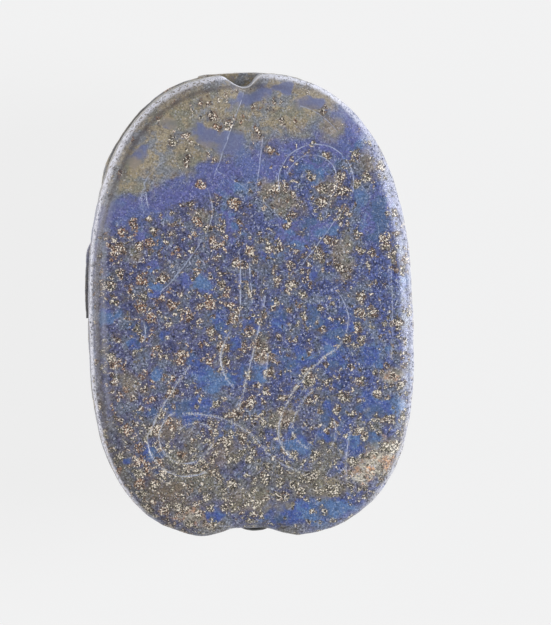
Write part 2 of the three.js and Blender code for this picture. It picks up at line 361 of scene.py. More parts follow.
def leg_lines():
    """The six legs' middle lines as one wire mesh, with the way out of the flank and the girth on it."""
    wire = bpy.data.meshes.new("leg lines")
    places, outwards, girths, edges = [], [], [], []
    for leg, (hip, knee, foot) in LEGS.items():
        for side in (-1, 1):
            first = len(places)
            for i in range(LEG_STEPS + 1):
                share = i / LEG_STEPS
                corner = np.array(knee)
                if share < KNEE_AT:
                    walked, below = np.array(hip) + (corner - hip) * (share / KNEE_AT)
                else:
                    on_shin = (share - KNEE_AT) / (1 - KNEE_AT)
                    walked, below = corner + (np.array(foot) - corner) * on_shin
                below += KNEE_BEND * math.exp(-((share - KNEE_AT) / 0.12) ** 2)
                past_round = max(0, (share - TOE_FROM) / (1 - TOE_FROM), (HIP_ROUND - share) / HIP_ROUND)
                tip = math.sqrt(max(0.03, 1 - past_round ** 2))
                girth = (HIP_GIRTH - GIRTH_LOST * share) * tip
                girth *= 1 + RIB_HEIGHT * math.cos(share * RIB_TURN) * (share > RIBS_FROM)
                sunk = HIP_SUNK * max(0, 1 - share / 0.3) ** 2 + LEG_SET_IN[leg]
                x, y, lean_x, lean_y = (np.interp(walked, EDGE_WALK, row) for row in EDGE)
                out = -LEG_OUT * girth - sunk - 0.02
                leg_x = side * (x + lean_x * out)
                places.append((leg_x * MM, (y + lean_y * out) * MM, (HEIGHT - below) * MM))
                outwards.append((side * lean_x, lean_y, 0))
                girths.append(girth)
            edges += [(first + i, first + i + 1) for i in range(LEG_STEPS)]
    wire.from_pydata(places, edges, [])
    wire.attributes.new("outward", "FLOAT_VECTOR", "POINT").data.foreach_set("vector", np.ravel(outwards))
    wire.attributes.new("girth", "FLOAT", "POINT").data.foreach_set("value", girths)
    return wire


def kept(tree, label, kind):
    """A value that was written on the points, by its name."""
    node = step(tree, "GeometryNodeInputNamedAttribute", data_type=kind)
    node.inputs["Name"].default_value = label
    return node.outputs[0]


leg_tree, given = new_tree("legs", Half_width=LEG_WIDE, Standing_out=LEG_OUT, Sides=20)
line = step(leg_tree, "GeometryNodeMeshToCurve", given.outputs["Geometry"])
turned = step(leg_tree, "GeometryNodeSetCurveNormal", line.outputs[0], mode="FREE")
leg_tree.links.new(kept(leg_tree, "outward", "FLOAT_VECTOR"), turned.inputs["Normal"])
oval = step(leg_tree, "GeometryNodeCurvePrimitiveCircle")
leg_tree.links.new(given.outputs["Sides"], oval.inputs["Resolution"])
oval.inputs["Radius"].default_value = MM
pressed = step(leg_tree, "GeometryNodeTransform", oval.outputs[0])
feed(pressed.inputs["Scale"], point_of(Gauge(given.outputs["Standing_out"]),
                                       Gauge(given.outputs["Half_width"]), 1.0))
swept = step(leg_tree, "GeometryNodeCurveToMesh", turned.outputs[0])
leg_tree.links.new(pressed.outputs[0], swept.inputs["Profile Curve"])
leg_tree.links.new(kept(leg_tree, "girth", "FLOAT"), swept.inputs["Scale"])
swept.inputs["Fill Caps"].default_value = True
close_tree(leg_tree, given, swept.outputs[0])
legs = carve("legs", leg_tree, leg_lines())

# ---- The head --------------------------------------------------------------------------------------------
# The head is a wedge left standing between the forelegs, widest across the swelling eyes, with a shovel
# edge in front. One line is cut across it behind the shovel.

HEAD_ROOT = 6.6
HEAD_TIP = LENGTH / 2 - 0.09
HEAD_HALF_WIDTH = {"root": 3.0, "eyes": 3.5, "tip": 2.1}
HEAD_DEPTHS = {"under": 4.15, "root": 7.5, "tip": 4.95, "side": 4.3}
EYES_AT = 0.36
EYE_ACROSS = 0.72
EYE_HEIGHT = 0.3
BROW_AT = 0.62
BROW_DEPTH = 0.14
SHOVEL_BOW = 0.14

head_tree, given = new_tree("head", Across=44, Along=76, Through=3)
cube, (u, v, w) = rough_cube(head_tree, given, "Across", "Along", "Through")
across = worked("SINE", u * (math.pi / 2))
share = (v + 1.0) / 2.0
wider = HEAD_HALF_WIDTH["eyes"] - HEAD_HALF_WIDTH["root"]
narrower = HEAD_HALF_WIDTH["root"] - HEAD_HALF_WIDTH["tip"]
half_width = HEAD_HALF_WIDTH["root"] + wider * swell(share - EYES_AT, 0.36)
half_width = half_width - narrower * ramp(share, 0.6, 1.05)
crown = between(share ** 1.5, HEAD_DEPTHS["root"], HEAD_DEPTHS["tip"])
arch = most(1.0 - abs(across) ** 3.5, 0.0) ** 0.5
eye = swell(abs(across) - EYE_ACROSS, 0.2) * swell(share - EYES_AT, 0.14) * EYE_HEIGHT
brow = swell(share - BROW_AT - 0.1 * across * across, 0.035) * BROW_DEPTH
crown_depth = between(arch, HEAD_DEPTHS["side"], crown) + eye - brow
depth = between((1.0 - w) / 2.0, HEAD_DEPTHS["under"], crown_depth)
head_y = between(share, HEAD_ROOT, HEAD_TIP) - SHOVEL_BOW * share * across * across
shape = step(head_tree, "GeometryNodeSetPosition", cube)
feed(shape.inputs["Position"], point_of(half_width * across * MM, head_y * MM, (HEIGHT - depth) * MM))
close_tree(head_tree, given, shape.outputs[0])
head = carve("head", head_tree)

# ---- The string hole -------------------------------------------------------------------------------------
# A hole is drilled from both ends right through the length, and the string has worn its mouths wide. The
# legs and the head are joined to the block first, and the hole goes through them all.

HOLE_DEPTH = 3.1
HOLE_RADIUS = 0.75
MOUTH_RADIUS = 1.05
DRILL_STEPS = 90
DRILL_SIDES = 32

drill_tree, given = new_tree("drilled", Radius=HOLE_RADIUS, Mouth=MOUTH_RADIUS, Legs=legs, Head=head)
raised = step(drill_tree, "GeometryNodeMeshBoolean", operation="UNION", solver="MANIFOLD")
drill_tree.links.new(given.outputs["Geometry"], raised.inputs["Mesh 2"])
for label in ("Legs", "Head"):
    member = step(drill_tree, "GeometryNodeObjectInfo")
    drill_tree.links.new(given.outputs[label], member.inputs["Object"])
    drill_tree.links.new(member.outputs["Geometry"], raised.inputs["Mesh 2"])
axis = step(drill_tree, "GeometryNodeCurvePrimitiveLine")
axis.inputs["Start"].default_value = (0, (-LENGTH / 2 - 1) * MM, (HEIGHT - HOLE_DEPTH) * MM)
axis.inputs["End"].default_value = (0, (LENGTH / 2 + 1) * MM, (HEIGHT - HOLE_DEPTH) * MM)
pathway = step(drill_tree, "GeometryNodeResampleCurve", axis.outputs[0])
pathway.inputs["Count"].default_value = DRILL_STEPS
x, y, z = parts_of(step(drill_tree, "GeometryNodeInputPosition").outputs[0])
flare = ramp(abs(y) / MM, LENGTH / 2 - 1.4, LENGTH / 2 + 0.8)
bore = between(flare, Gauge(given.outputs["Radius"]), Gauge(given.outputs["Mouth"])) * MM
circle = step(drill_tree, "GeometryNodeCurvePrimitiveCircle")
circle.inputs["Resolution"].default_value = DRILL_SIDES
circle.inputs["Radius"].default_value = 1.0
drill = step(drill_tree, "GeometryNodeCurveToMesh", pathway.outputs[0])
drill_tree.links.new(circle.outputs[0], drill.inputs["Profile Curve"])
feed(drill.inputs["Scale"], bore)
drill.inputs["Fill Caps"].default_value = True
drilled = step(drill_tree, "GeometryNodeMeshBoolean", raised.outputs[0],
               operation="DIFFERENCE", solver="MANIFOLD")
drill_tree.links.new(drill.outputs[0], drilled.inputs["Mesh 2"])
close_tree(drill_tree, given, drilled.outputs[0])
blank = carve("drilled", drill_tree, block.data, Legs=legs, Head=head)
for spent in (block, legs, head):
    bpy.data.objects.remove(spent)

# ---- The seal's engraving --------------------------------------------------------------------------------
# Paired scrolls and straight strokes were cut into the face with a graver, and wear has all but rubbed them
# out. They are laid out as arcs and slightly bowed strokes; the graver follows them as one wire.

GRAVER = {"depth": 0.05, "half_width": 0.17}
HAND_WORN = 0.14
RIM_WORN = 0.1
CHIP = {"x": -3.89, "y": -11.17, "depth": 0.2}
# Arcs: middle x and y, first and last radius, first and last angle, and how strong the line still is.
CURLS = [
    (3.5, 6.4, 1.95, 2.0, 190, -28, 1.0),
    (3.3, 6.5, 1.3, 1.35, 166, -44, 0.8),
    (-3.5, 5.6, 2.3, 2.1, 113, 195, 0.5),
    (2.9, -6.7, 1.75, 1.65, 162, 234, 0.9),
    (2.9, -6.5, 1.0, 1.0, 166, 260, 0.9),
    (2.9, -6.7, 1.3, 1.3, 24, -44, 0.7),
    (-3.7, -6.7, 2.0, 2.1, 174, 298, 1.0),
    (-3.7, -6.7, 1.4, 1.4, 115, 341, 1.0),
    (-3.2, -7.1, 1.1, 1.15, 138, 20, 0.8),
]
# Strokes: both ends, how far the middle bows to the left of the way there, and the strength.
STROKES = [
    (5.3, 5.5, 2.3, 1.7, 0.06, 1.0),
    (-2.5, 6.7, -2.4, 3.8, 0.5, 0.6),
    (-2.4, 3.8, -4.8, 0.9, 0.12, 0.9),
    (-1.6, 7.1, 1.6, 4.5, 0.2, 0.5),
    (-5.7, -0.6, -5.7, -1.6, 0.04, 0.7),
    (4.4, 0.7, 4.3, -2.4, 0.66, 0.6),
    (4.3, -2.4, 1.2, -6.2, -0.45, 0.9),
    (3.0, -4.5, 1.9, -6.3, -0.15, 0.8),
    (5.0, -6.5, 4.7, -9.3, -0.12, 0.5),
    (-3.4, -3.0, -5.7, -6.6, -0.1, 0.8),
    (-3.8, -5.5, 0.0, -6.9, 0.4, 0.9),
    (0.0, -6.9, 2.4, -8.8, -0.3, 0.8),
    (-0.6, 3.0, -0.7, -0.5, 0.06, 1.0),
    (-0.1, 2.1, 0.0, 0.2, 0.0, 1.0),
    (0.7, 0.5, -0.9, -5.4, 0.05, 0.8),
    (-1.2, -1.3, -1.2, -4.1, -0.55, 1.0),
    (0.7, -2.5, 0.5, -3.8, 0.08, 0.6),
    (-0.1, 11.2, -1.8, 6.9, 0.0, 0.5),
    (0.8, 8.8, 0.4, 6.2, 0.0, 0.5),
    (2.8, 10.4, 4.7, 9.0, 0.2, 0.5),
    (-7.3, -2.4, -7.2, -3.9, 0.0, 0.5),
    (7.3, 2.8, 7.2, -3.0, 0.1, 0.4),
    (-5.5, 6.8, -5.3, 5.3, 0.0, 0.6),
]


def graver_path():
    """Every engraved line as one wire mesh lying in the plane of the face, with its strength on it."""
    wire = bpy.data.meshes.new("graver path")
    places, edges, strengths, runs = [], [], [], []
    for x, y, first, last, start, end, strength in CURLS:
        count = max(6, int(abs(end - start) * first / 7))
        turn = np.radians(np.linspace(start, end, count))
        radius = np.linspace(first, last, count)
        runs.append((x + radius * np.cos(turn), y + radius * np.sin(turn), strength))
    for x0, y0, x1, y1, bow, strength in STROKES:
        way = np.hypot(x1 - x0, y1 - y0)
        share = np.linspace(0, 1, max(4, int(way / 0.12)))
        belly = 4 * bow * share * (1 - share)
        runs.append((x0 + (x1 - x0) * share - (y1 - y0) / way * belly,
                     y0 + (y1 - y0) * share + (x1 - x0) / way * belly, strength))
    for xs, ys, strength in runs:
        first = len(places)
        shaky = 0.012 * np.sin(np.arange(len(xs)) * 0.7 + first)
        places += [(x * MM, y * MM, HEIGHT * MM) for x, y in zip(xs + shaky, ys - shaky)]
        edges += [(first + i, first + i + 1) for i in range(len(xs) - 1)]
        strengths += [strength] * len(xs)
    wire.from_pydata(places, edges, [])
    wire.attributes.new("strength", "FLOAT", "POINT").data.foreach_set("value", strengths)
    return wire


def noise_of(place, scale, detail=2.0, roughness=0.5, colour=False):
    """Cloudy variation around 0.5 at a place in millimetres; scale is the clouds to a millimetre."""
    node = place.id_data.nodes.new("ShaderNodeTexNoise")
    place.id_data.links.new(place, node.inputs["Vector"])
    node.inputs["Scale"].default_value = scale
    node.inputs["Detail"].default_value = detail
    node.inputs["Roughness"].default_value = roughness
    return node.outputs["Color"] if colour else Gauge(node.outputs["Fac"])


path = bpy.data.objects.new("graver path", graver_path())
bpy.context.scene.collection.objects.link(path)
seal_tree, given = new_tree("engraved", Depth=GRAVER["depth"], Half_width=GRAVER["half_width"], Path=path)
member = step(seal_tree, "GeometryNodeObjectInfo")
seal_tree.links.new(given.outputs["Path"], member.inputs["Object"])
spot = step(seal_tree, "GeometryNodeInputPosition").outputs[0]
x, y, z = parts_of(spot)
near = step(seal_tree, "GeometryNodeProximity", member.outputs["Geometry"], target_element="EDGES")
feed(near.inputs["Sample Position"], point_of(x, y, z * 0.0 + HEIGHT * MM))
gap = Gauge(near.outputs["Distance"]) / MM
millimetres = step(seal_tree, "ShaderNodeVectorMath", spot, operation="SCALE")
millimetres.inputs["Scale"].default_value = 1 / MM
place = millimetres.outputs[0]
facing = parts_of(step(seal_tree, "GeometryNodeInputNormal").outputs[0])[2]
on_face = ramp(facing, 0.55, 0.9) * ramp(z / MM, HEIGHT - 0.8, HEIGHT - 0.3)
cut = swell(gap, Gauge(given.outputs["Half_width"])) * Gauge(given.outputs["Depth"])
cut = cut * ramp(noise_of(place, 0.9), 0.35, 0.6) * on_face
on_edge = ramp(facing, 0.98, 0.8)
uneven = (noise_of(place, 0.45, 3.0) - 0.5) * HAND_WORN * (0.35 + 0.65 * on_edge)
uneven = uneven + (noise_of(place, 1.5, 2.0) - 0.5) * RIM_WORN * on_edge
from_chip = abs(x / MM - CHIP["x"]) * 0.8 + abs(y / MM - CHIP["y"]) * 1.5 + noise_of(place, 1.6) * 0.8
chip = ramp(from_chip, 1.15, 0.75) * CHIP["depth"]
sunk = (uneven - cut - chip) * MM
worn = step(seal_tree, "GeometryNodeSetPosition", given.outputs["Geometry"])
pushed = step(seal_tree, "ShaderNodeVectorMath", operation="SCALE")
seal_tree.links.new(step(seal_tree, "GeometryNodeInputNormal").outputs[0], pushed.inputs[0])
feed(pushed.inputs["Scale"], sunk)
seal_tree.links.new(pushed.outputs[0], worn.inputs["Offset"])
noted = step(seal_tree, "GeometryNodeStoreNamedAttribute", worn.outputs[0], data_type="FLOAT_VECTOR")
noted.inputs["Name"].default_value = "stroke_near"
seal_tree.links.new(near.outputs["Position"], noted.inputs["Value"])
closest = step(seal_tree, "GeometryNodeSampleNearest", member.outputs["Geometry"])
seal_tree.links.new(near.outputs["Position"], closest.inputs["Sample Position"])
found = step(seal_tree, "GeometryNodeSampleIndex", member.outputs["Geometry"])
seal_tree.links.new(kept(seal_tree, "strength", "FLOAT"), found.inputs["Value"])
seal_tree.links.new(closest.outputs["Index"], found.inputs["Index"])
strong = step(seal_tree, "GeometryNodeStoreNamedAttribute", noted.outputs[0], data_type="FLOAT")
strong.inputs["Name"].default_value = "stroke_strength"
feed(strong.inputs["Value"], Gauge(found.outputs[0]) * on_face * ramp(gap, 0.4, 0.3))
close_tree(seal_tree, given, strong.outputs[0])
scarab = carve("scarab_stone", seal_tree, blank.data, Path=path)
for spent in (blank, path):
    bpy.data.objects.remove(spent)

# ---- The minerals in the stone ---------------------------------------------------------------------------
# Lapis is a rock of several minerals: clear blue lazurite, a dusty blue mass full of pale and dark grains,
# and beige to olive veins of calcite and diopside with rusty spots. The larger clouds of each are placed
# on the seal face: x, y, long and short reach in millimetres, and turn in degrees.

CLOUDS = {
    "clear": [
        (2.0, 11.4, 0.6, 0.4, 0), (0.3, 10.9, 0.9, 0.5, 18), (-2.2, 9.0, 0.7, 0.5, 0),
        (-6.1, 5.4, 0.9, 0.4, -7), (-4.0, 6.1, 0.8, 0.4, 8), (-1.4, 6.3, 1.3, 0.5, 0),
        (1.1, 6.9, 0.9, 0.5, 3), (3.3, 7.3, 1.1, 0.6, 0), (5.3, 8.4, 0.9, 0.7, -32),
        (6.4, 4.7, 0.7, 1.4, 0), (2.6, 3.5, 1.1, 0.7, 0), (-5.3, 3.6, 0.6, 0.4, -32),
        (-2.4, 1.2, 0.5, 0.5, 0), (-1.7, -0.8, 0.4, 0.7, 0), (0.1, -0.9, 0.5, 0.4, 0),
        (1.2, -1.0, 0.4, 0.4, 0), (3.3, -1.0, 0.6, 0.4, 0), (-6.2, -1.1, 0.5, 0.5, 0),
        (-2.6, -3.5, 0.7, 0.7, 0), (2.6, -3.0, 1.1, 0.5, 18), (4.7, -1.6, 0.7, 1.1, -22),
        (6.2, -2.9, 0.6, 0.5, 0), (6.5, -5.7, 0.9, 0.7, 0), (5.3, -7.5, 0.9, 0.6, 8),
        (4.1, -6.3, 0.6, 0.9, 0), (2.1, -7.4, 0.7, 0.7, 0), (-3.4, -5.3, 1.1, 0.6, 0),
        (-5.6, -7.2, 0.6, 0.5, 0), (2.0, -10.8, 1.7, 0.9, 0), (3.7, -10.9, 0.7, 0.4, 18),
        (-0.5, -3.5, 0.7, 0.5, 0), (3.5, 10.6, 0.9, 0.4, 0), (5.1, 9.7, 1.0, 0.7, -30),
        (-4.0, 9.7, 0.4, 0.3, 0), (-5.8, 8.0, 0.4, 0.8, -20), (-1.0, 8.7, 0.9, 0.6, 0),
    ],
    "vein": [
        (-3.0, 7.9, 1.1, 0.7, 0), (-6.2, 7.4, 0.7, 0.8, 0), (-0.4, 9.8, 0.6, 0.6, 0),
        (2.2, 9.8, 1.3, 0.8, 0), (4.3, 9.2, 0.7, 0.6, 0), (-3.3, 10.7, 1.6, 0.8, 23),
        (1.9, 5.5, 1.1, 0.6, -22), (4.2, 6.0, 0.6, 0.7, 0), (6.1, 7.3, 0.5, 0.6, 0),
        (4.8, 2.1, 0.6, 0.7, 0), (0.3, -2.3, 0.5, 0.6, 0), (7.1, -3.9, 0.6, 0.4, 0),
        (-4.2, -6.3, 0.7, 0.5, 0), (-2.0, -7.5, 1.1, 0.6, 0), (-4.7, -9.6, 1.3, 0.7, -27),
        (-0.5, -10.2, 1.8, 0.6, 0), (3.5, -9.7, 1.2, 0.5, 8), (6.1, -8.5, 1.8, 0.8, 33),
        (1.0, -6.0, 0.8, 0.4, 28), (-6.1, 3.1, 0.5, 0.6, 0), (-6.6, -3.9, 0.6, 0.7, 0),
        (-2.6, 4.9, 0.5, 0.4, 0), (-5.0, 10.2, 1.0, 0.8, 30), (-6.1, 6.4, 1.0, 0.4, 0),
    ],
    "rusty": [(-3.6, -10.9, 0.9, 0.5, -22), (7.2, -4.0, 0.4, 0.3, 0), (6.2, -8.4, 1.6, 0.7, 35)],
}


def settle(mesh):
    """Writes each mineral's clouds on the stone: 1 in the middle of a cloud, a half where it ends."""
    spots = np.empty(len(mesh.vertices) * 3)
    mesh.vertices.foreach_get("co", spots)
    x, y, z = spots.reshape(-1, 3).T / MM
    for mineral, clouds in CLOUDS.items():
        level = np.zeros(len(x))
        for cloud_x, cloud_y, long_reach, short_reach, turn in clouds:
            turn = math.radians(turn)
            along = (x - cloud_x) * math.cos(turn) + (y - cloud_y) * math.sin(turn)
            across = (y - cloud_y) * math.cos(turn) - (x - cloud_x) * math.sin(turn)
            level = np.maximum(level, 1 - 0.5 * np.hypot(along / long_reach, across / short_reach))
        level *= np.clip((z - HEIGHT + 2.2) / 0.8, 0, 1)
        mesh.attributes.new(mineral, "FLOAT", "POINT").data.foreach_set("value", level.astype(np.float32))


settle(scarab.data)

# ---- The polished stone ----------------------------------------------------------------------------------
# The surface is an old hand polish, glossy on the blue and duller over the veins. Grains have dropped out
# here and there, the engraved lines hold pale dust, and the colour of each mineral shows right through.

lapis.use_nodes = True
stone = lapis.node_tree
polish = stone.nodes["Principled BSDF"]


def tint(red, green, blue):
    """A colour by its screen values from 0 to 255."""
    return [(part / 255 / 12.92) if part < 10 else ((part / 255 + 0.055) / 1.055) ** 2.4
            for part in (red, green, blue)] + [1.0]


MASS_LEFT = tint(89, 91, 123)
MASS_RIGHT = tint(82, 92, 138)
GREY_BLUE = tint(106, 114, 128)
DEEP_BLUE = tint(62, 69, 106)
VIOLET_BLUE = tint(95, 98, 148)
ROYAL_BLUE = tint(72, 88, 146)
SKY_BLUE = tint(88, 114, 154)
TEAL_BLUE = tint(80, 99, 134)
CAP_WARM = tint(151, 140, 117)
CAP_COLD = tint(127, 129, 132)
CAP_BLUE = tint(104, 111, 144)
OCHRE = tint(150, 137, 112)
OLIVE = tint(126, 122, 100)
BROWN = tint(104, 86, 70)
RUST = tint(204, 162, 128)
SAND = tint(192, 184, 168)
RIM_PAINTED_SHEEN = tint(134, 134, 144)
EDGE_HIGHLIGHT = tint(222, 223, 234)
SPECK_PALE = tint(206, 209, 224)
TAN_NEST = tint(128, 106, 90)
OLIVE_NEST = tint(138, 130, 110)
ORANGE_NEST = tint(158, 117, 90)
PALE_GRAIN_GLINT = tint(248, 238, 220)
DARK_BIT = tint(26, 20, 22)
STAIN = tint(86, 79, 82)
HOLLOW_SHADE = tint(22, 21, 27)
CREASE_SHADE = tint(76, 70, 74)
HAIRLINE = tint(172, 180, 204)
DUST = tint(214, 208, 194)
CAP_FROM = 7.3
VIOLET_FROM = 5.9
# The grains' sizes in millimetres, and how wide a hairline is and how deep the pits are.
BIG_NEST = 0.72
SMALL_NEST = 0.36
FINE_GRAIN = 0.12
FLOUR = 0.062
NEST_GRAIN = 0.052
HAIR_HALF_WIDTH = 0.022
PIT_DEPTH = 0.03


def shaded(colour, light):
    """A colour made lighter or darker all at once."""
    node = stone.nodes.new("ShaderNodeVectorMath")
    node.operation = "SCALE"
    stone.links.new(colour, node.inputs[0])
    feed(node.inputs["Scale"], light)
    return node.outputs[0]


def blend(share, below, above):
    """below where share is 0 and above where it is 1; each is a tint or a colour socket."""
    node = stone.nodes.new("ShaderNodeMix")
    node.data_type = "RGBA"
    feed(node.inputs["Factor"], share)
    for socket, colour in zip(node.inputs[6:8], (below, above)):
        if isinstance(colour, bpy.types.NodeSocket):
            stone.links.new(colour, socket)
        else:
            socket.default_value = colour
    return node.outputs[2]


def on_stone(label, vector=False):
    """A value that was written on the finished stone's points, by its name."""
    node = stone.nodes.new("ShaderNodeAttribute")
    node.attribute_name = label
    return node.outputs["Vector"] if vector else Gauge(node.outputs["Fac"])


def cells(place, size):
    """Grains of a size in millimetres: how far from a grain's middle, and three chances for each grain."""
    node = stone.nodes.new("ShaderNodeTexVoronoi")
    stone.links.new(place, node.inputs["Vector"])
    node.inputs["Scale"].default_value = 1 / size
    return [Gauge(node.outputs["Distance"])] + parts_of(node.outputs["Color"])


def scaled(vector, by, plus=None):
    """A vector multiplied by a number, with a plain shift or another vector added."""
    node = stone.nodes.new("ShaderNodeVectorMath")
    node.operation = "MULTIPLY_ADD"
    stone.links.new(vector, node.inputs[0])
    node.inputs[1].default_value = (by, by, by)
    if plus is None:
        node.inputs[2].default_value = (0, 0, 0)
    elif isinstance(plus, bpy.types.NodeSocket):
        stone.links.new(plus, node.inputs[2])
    else:
        node.inputs[2].default_value = plus
    return node.outputs[0]


place = scaled(stone.nodes.new("ShaderNodeTexCoord").outputs["Object"], 1 / MM)
x, y, z = parts_of(place)
ragged = scaled(noise_of(place, 2.4, 3.0, 0.65, colour=True), 0.75, place)
crumbly = scaled(noise_of(place, 7.0, 2.0, 0.6, colour=True), 0.1, place)
on_top = ramp(z, HEIGHT - 2.0, HEIGHT - 1.2)
on_rim = ramp(z, HEIGHT - 0.1, HEIGHT - 0.35) * ramp(z, HEIGHT - 2.0, HEIGHT - 1.6)

# Where each mineral is: the placed clouds with ragged edges on the face, and free drifts all over. The cap
# is the beige head end, with a violet band behind it, and the tail end turns olive and brown.
drift = noise_of(place, 0.42, 3.0, 0.6) - 0.5
ragging = noise_of(place, 1.9, 4.0, 0.6) - 0.5
soft = noise_of(place, 1.0, 2.0) - 0.5
clear_free = noise_of(scaled(place, 1.0, (7.1, 3.3, 5.9)), 0.75, 3.0)
vein_free = noise_of(scaled(place, 1.0, (1.7, 9.4, 2.2)), 0.5, 3.0, 0.6)
cap_line = y - 0.33 * x + soft * 2.0 + ragging * 1.6 + drift * 1.5
cap = ramp(cap_line, CAP_FROM, CAP_FROM + 1.7)
violet_band = ramp(cap_line, VIOLET_FROM, VIOLET_FROM + 1.1) * (1.0 - cap)
tail = ramp(-y + 0.2 * abs(x) + ragging * 2.5 + drift * 3.0, 5.0, 9.0)
clear = on_stone("clear") + soft * 1.3 + ragging * 0.5
clear = clear + ramp(clear_free, 0.5, 0.75) * (1.0 - 0.6 * on_top * cap)
clear = most(ramp(clear, 0.25, 0.85), violet_band)
vein = on_stone("vein") + soft * 1.2 + ragging * 0.7
vein = vein + ramp(vein_free, 0.52, 0.78) * (1.0 - 0.3 * on_top)
vein = ramp(vein, 0.3, 0.85)
rusty = ramp(on_stone("rusty") + ragging * 1.2, 0.4, 0.7)

# The body colour, from the dusty blue mass to the clear blue and the veins. The shade changes slowly with
# one drift, lively, and more quickly with another, tone.
lively = noise_of(scaled(place, 1.0, (3.0, 1.0, 8.0)), 0.55, 3.0)
tone = noise_of(scaled(place, 1.0, (5.0, 6.0, 1.0)), 1.3, 3.0, 0.6)
sideways = ramp(x + drift * 6.0, -5.0, 5.0)
mass = blend(sideways, MASS_LEFT, MASS_RIGHT)
mass = blend(ramp(tone, 0.48, 0.6) * 0.8, mass, GREY_BLUE)
mass = blend(ramp(tone, 0.46, 0.34) * 0.8, mass, DEEP_BLUE)
mass = blend(tail * ramp(lively, 0.6, 0.4) * 0.8, mass, OLIVE)
blue = blend(ramp(y + (lively - 0.5) * 14.0, 4.0, -1.0), VIOLET_BLUE, ROYAL_BLUE)
shift = lively + (tone - 0.5) * 0.6
blue = blend(ramp(shift, 0.5, 0.62) * (1.0 - violet_band * 0.7), blue, SKY_BLUE)
blue = blend(ramp(shift, 0.5, 0.4) * (1.0 - violet_band * 0.8), blue, TEAL_BLUE)
earth = blend(ramp(tone, 0.4, 0.6), OCHRE, OLIVE)
earth = blend(tail * ramp(x, 1.0, -3.0) * 0.8, earth, BROWN)
body = blend(clear, mass, blue)
cap_tone = blend(ramp(tone + soft * 0.5, 0.44, 0.56), CAP_WARM, CAP_COLD)
cap_tone = blend(ramp(clear + soft * 0.6, 0.3, 0.9) * 0.9, cap_tone, CAP_BLUE)
body = blend(cap * 0.95, body, cap_tone)
body = blend(vein * 0.75, body, earth)
# Painted reflection: the rounded rim is painted greyer all round, as the polish there would mirror the
# bright surround.
body = blend(on_rim * 0.35, body, RIM_PAINTED_SHEEN)
body = blend(rusty * 0.9, body, blend(ramp(tone, 0.44, 0.54), RUST, SAND))

# Fine grain: the colour is darker and lighter from grain to grain, with a few pale and dark specks. It is
# calmer on the clear blue and on the cap.
busy = 1.0 - clear * 0.5 - cap * 0.45
fine_one, fine_two, fine_three = cells(crumbly, FINE_GRAIN)[1:]
flour_one, flour_two, flour_three = cells(place, FLOUR)[1:]
light = 0.98 + (fine_one - 0.5) * 0.35 + (flour_one - 0.5) * 1.2
body = shaded(body, between(busy, 1.0, light))
body = blend(ramp(flour_two, 0.84, 0.98) * busy * 0.55, body, SPECK_PALE)
body = blend(ramp(flour_three, 0.14, 0.05) * busy * 0.5, body, DARK_BIT)

# The engraved lines: pale hairlines, fainter where they run over a nest of grains.
near_x, near_y = parts_of(scaled(on_stone("stroke_near", vector=True), 1 / MM))[:2]
wobble = noise_of(place, 4.0, 2.0) - 0.5
off = ((x - near_x) ** 2.0 + (y - near_y) ** 2.0) ** 0.5
hair = HAIR_HALF_WIDTH + wobble * 0.03
strength = on_stone("stroke_strength")
hairline = ramp(off, hair * 1.8, hair * 0.6) * strength * ramp(noise_of(place, 1.3, 3.0, 0.6), 0.3, 0.55)


def nests(size, crowd, small, large):
    """Nests of grains: where they lie, their middles, the stain round them and a chance for the colour."""
    gap, one, two, three = cells(ragged, size)
    reach = small + (large - small) * two
    there = ramp(one - crowd, 0.03, -0.03)
    nest = ramp(gap, reach, reach * 0.7) * there
    core = ramp(gap, reach * 0.9, 0.0) * there
    stain = ramp(gap, reach * 1.6, reach * 0.8) * there
    return nest, core, stain, three


# Nests of beige, brown and orange grains, large and small, are thickest over the middle and the tail. Each
# has one colour of its own and a brown stain round it; its grains are lighter in the middle. The palest are
# near
# white: pale grains with painted glints on them.
thick = ramp(noise_of(place, 0.45, 2.0), 0.38, 0.62)
crowd = 0.6 + 0.4 * thick - cap * 0.52 - clear * 0.45 + tail * 0.3 * (1.0 - clear) - on_rim * 0.2
crowd = crowd - ramp(y, 2.0, 6.0) * (1.0 - cap) * 0.15
crowd = crowd + (vein * 0.3 - rusty * 0.1) * (1.0 - cap)
big_nest, big_core, big_stain, big_kind = nests(BIG_NEST, crowd, 0.32, 0.55)
small_nest, small_core, small_stain, small_kind = nests(SMALL_NEST, crowd - 0.12, 0.3, 0.55)
nest = most(big_nest, small_nest)
core = most(big_core, small_core)
body = blend(most(big_stain, small_stain * 0.5) * 0.5, body, STAIN)
grain_one, grain_two, grain_three = cells(crumbly, NEST_GRAIN)[1:]
orange_kind = ramp(big_kind, 0.6, 0.7) * ramp(x - y * 0.3, 3.0, -5.0)
crumb = blend(ramp(small_kind + tail * 0.5, 0.5, 0.7), TAN_NEST, OLIVE_NEST)
crumb = blend(orange_kind * 0.85, crumb, ORANGE_NEST)
bright = grain_one + core * 0.22 - 0.06
crumb = shaded(crumb, between(flour_one, 0.7, 1.3))
crumb = blend(ramp(bright, 0.5, 0.4) * 0.9, crumb, DARK_BIT)
# Near-white grains: pale grains with painted glints.
crumb = blend(ramp(bright, 0.75, 0.83) * 0.95, crumb, PALE_GRAIN_GLINT)
bits = nest * ramp(grain_two, 0.05, 0.1) * 0.95
body = blend(bits, body, crumb)

# Dust lies in crumbs along the lines of the tail half. The hairlines go over the nests and the dust.
verge = ramp(off, 0.13, 0.04) * strength * ramp(y, 0.0, -3.0) * ramp(grain_two, 0.66, 0.7)
body = blend(verge * 0.7, body, DUST)
body = blend(hairline * between(nest, 0.8, 0.45), body, HAIRLINE)


